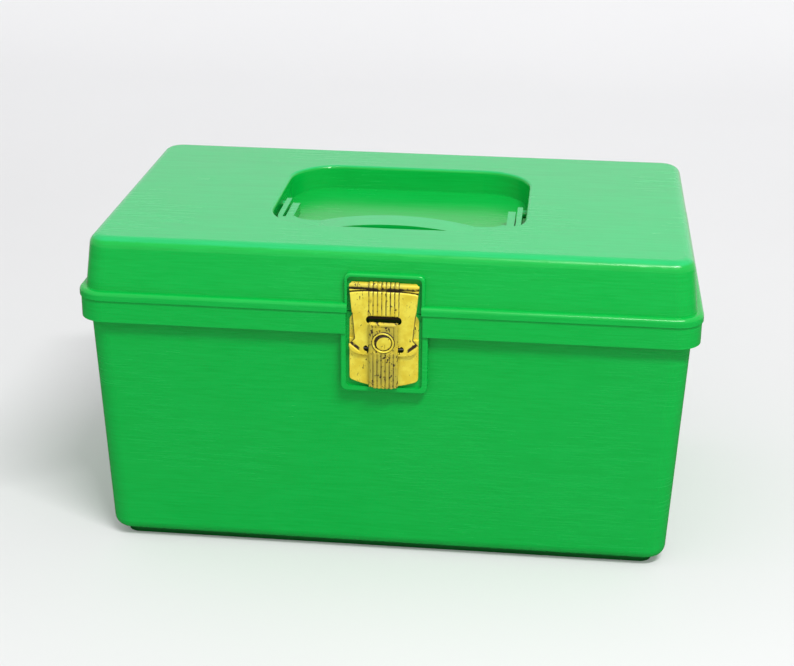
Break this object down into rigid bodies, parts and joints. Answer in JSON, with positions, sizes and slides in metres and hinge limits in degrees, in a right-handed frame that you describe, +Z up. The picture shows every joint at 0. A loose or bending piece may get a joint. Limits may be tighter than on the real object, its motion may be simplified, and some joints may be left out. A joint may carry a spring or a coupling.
{
  "type": "sewing machine attachment box",
  "caption": "Green moulded sewing box for machine attachments, with a hinged lid, sunken carry handle, brass-look hasp latch and lift-out divided tray.",
  "frame": {"origin": "middle of the tub's rectangular foot rim, on the surface the box stands on", "axes": "+X along the width to the right seen from the latch side, +Y from the latch to the hinges, +Z up"},
  "size_m": [0.2932, 0.1953, 0.159],
  "materials": {
    "green_plastic": "glossy, finely grained",
    "tray_plastic": "satin",
    "brass": "polished, worn",
    "zinc_steel": "satin"
  },
  "bodies": {
    "tub": {"tub": "green_plastic", "strike_plate": "brass", "strike_rivets": "brass", "strike_washers": "zinc_steel", "hinge_pin_left": "zinc_steel", "hinge_pin_right": "zinc_steel"},
    "lid": {"lid": "green_plastic", "hasp_bracket": "brass", "bracket_rivets": "brass", "bracket_washers": "zinc_steel", "hasp_pin": "brass"},
    "handle": {"carry_handle": "green_plastic"},
    "hasp": {"hasp_plate": "brass", "lever_pin": "zinc_steel"},
    "lever": {"latch_lever": "brass"},
    "tray": {"tray": "tray_plastic"}
  },
  "joints": [
    {"name": "lid_hinge", "type": "hinge", "parent": "tub", "child": "lid", "pos_m": [0, 0.0953, 0.12895], "axis": [-1, 0, 0], "range_deg": [0, 105]},
    {"name": "handle_swing", "type": "hinge", "parent": "lid", "child": "handle", "pos_m": [0, 0, 0.1515], "axis": [-1, 0, 0], "range_deg": [0, 170]},
    {"name": "hasp_swing", "type": "hinge", "parent": "lid", "child": "hasp", "pos_m": [0, -0.0891, 0.1424], "axis": [-1, 0, 0], "range_deg": [0, 120]},
    {"name": "lever_rock", "type": "hinge", "parent": "hasp", "child": "lever", "pos_m": [0, -0.0898, 0.1118], "axis": [-1, 0, 0], "range_deg": [0, 3.2], "stiffness_Nm_per_rad": 0.02, "springref_deg": 5.73},
    {"name": "tray_lift", "type": "slide", "parent": "tub", "child": "tray", "axis": [0, 0, 1], "range_m": [0, 0.027]}
  ]
}
